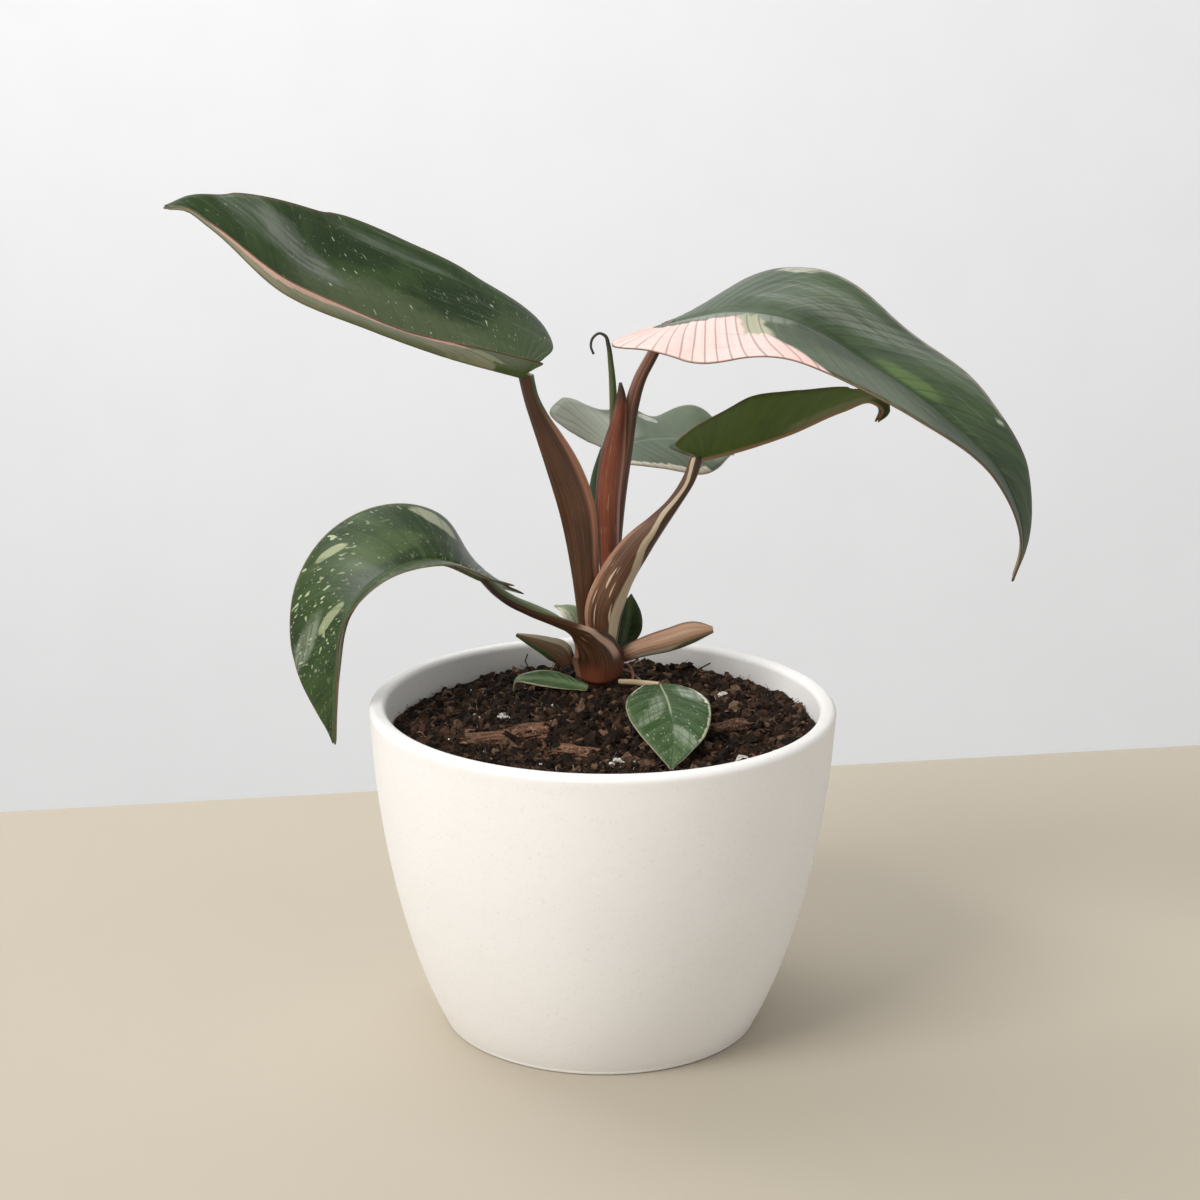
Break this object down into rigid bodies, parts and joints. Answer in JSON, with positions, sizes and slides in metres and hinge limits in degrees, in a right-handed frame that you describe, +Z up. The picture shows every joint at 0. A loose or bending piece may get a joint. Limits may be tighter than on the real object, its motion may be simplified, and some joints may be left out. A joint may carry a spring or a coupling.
{
  "type": "potted philodendron",
  "caption": "Variegated pink princess philodendron with long arching leaves, growing in a round matt white planter filled with bark soil.",
  "frame": {"origin": "centre of the planter's flat base, on the surface it stands on", "axes": "+Z up, +X to the right and -Y towards the front as pictured"},
  "size_m": [0.2647, 0.1609, 0.267],
  "materials": {
    "pot_white": "matte",
    "soil": "rough",
    "leaf_green": "satin",
    "leaf_pale": "satin",
    "stem_brown": "satin",
    "sheath_red": "satin",
    "stalk_green": "satin",
    "stalk_cream": "satin",
    "bract_pink": "satin",
    "bark": "rough"
  },
  "bodies": {
    "root": {"pot": "pot_white", "soil": "soil", "stem": "stem_brown", "blade_upper_left": "leaf_green", "blade_upper_right": "leaf_green", "blade_right": "leaf_green", "blade_back": "leaf_pale", "blade_lower_left": "leaf_green", "blade_front": "leaf_pale", "blade_low_left": "leaf_green", "blade_back_left": "leaf_pale", "blade_back_right": "leaf_green", "petiole_upper_left": "stem_brown", "petiole_upper_right": "sheath_red", "petiole_right": "stem_brown", "petiole_back": "stalk_green", "petiole_lower_left": "stem_brown", "petiole_front": "stalk_cream", "petiole_back_left": "stem_brown", "petiole_back_right": "stem_brown", "sheath_new_leaf": "sheath_red", "new_leaf": "stalk_green", "bract_right": "bract_pink", "bract_left": "stem_brown", "bark_flake_large": "bark", "bark_flake_small": "bark", "bark_flake_right": "bark"}
  },
  "joints": []
}
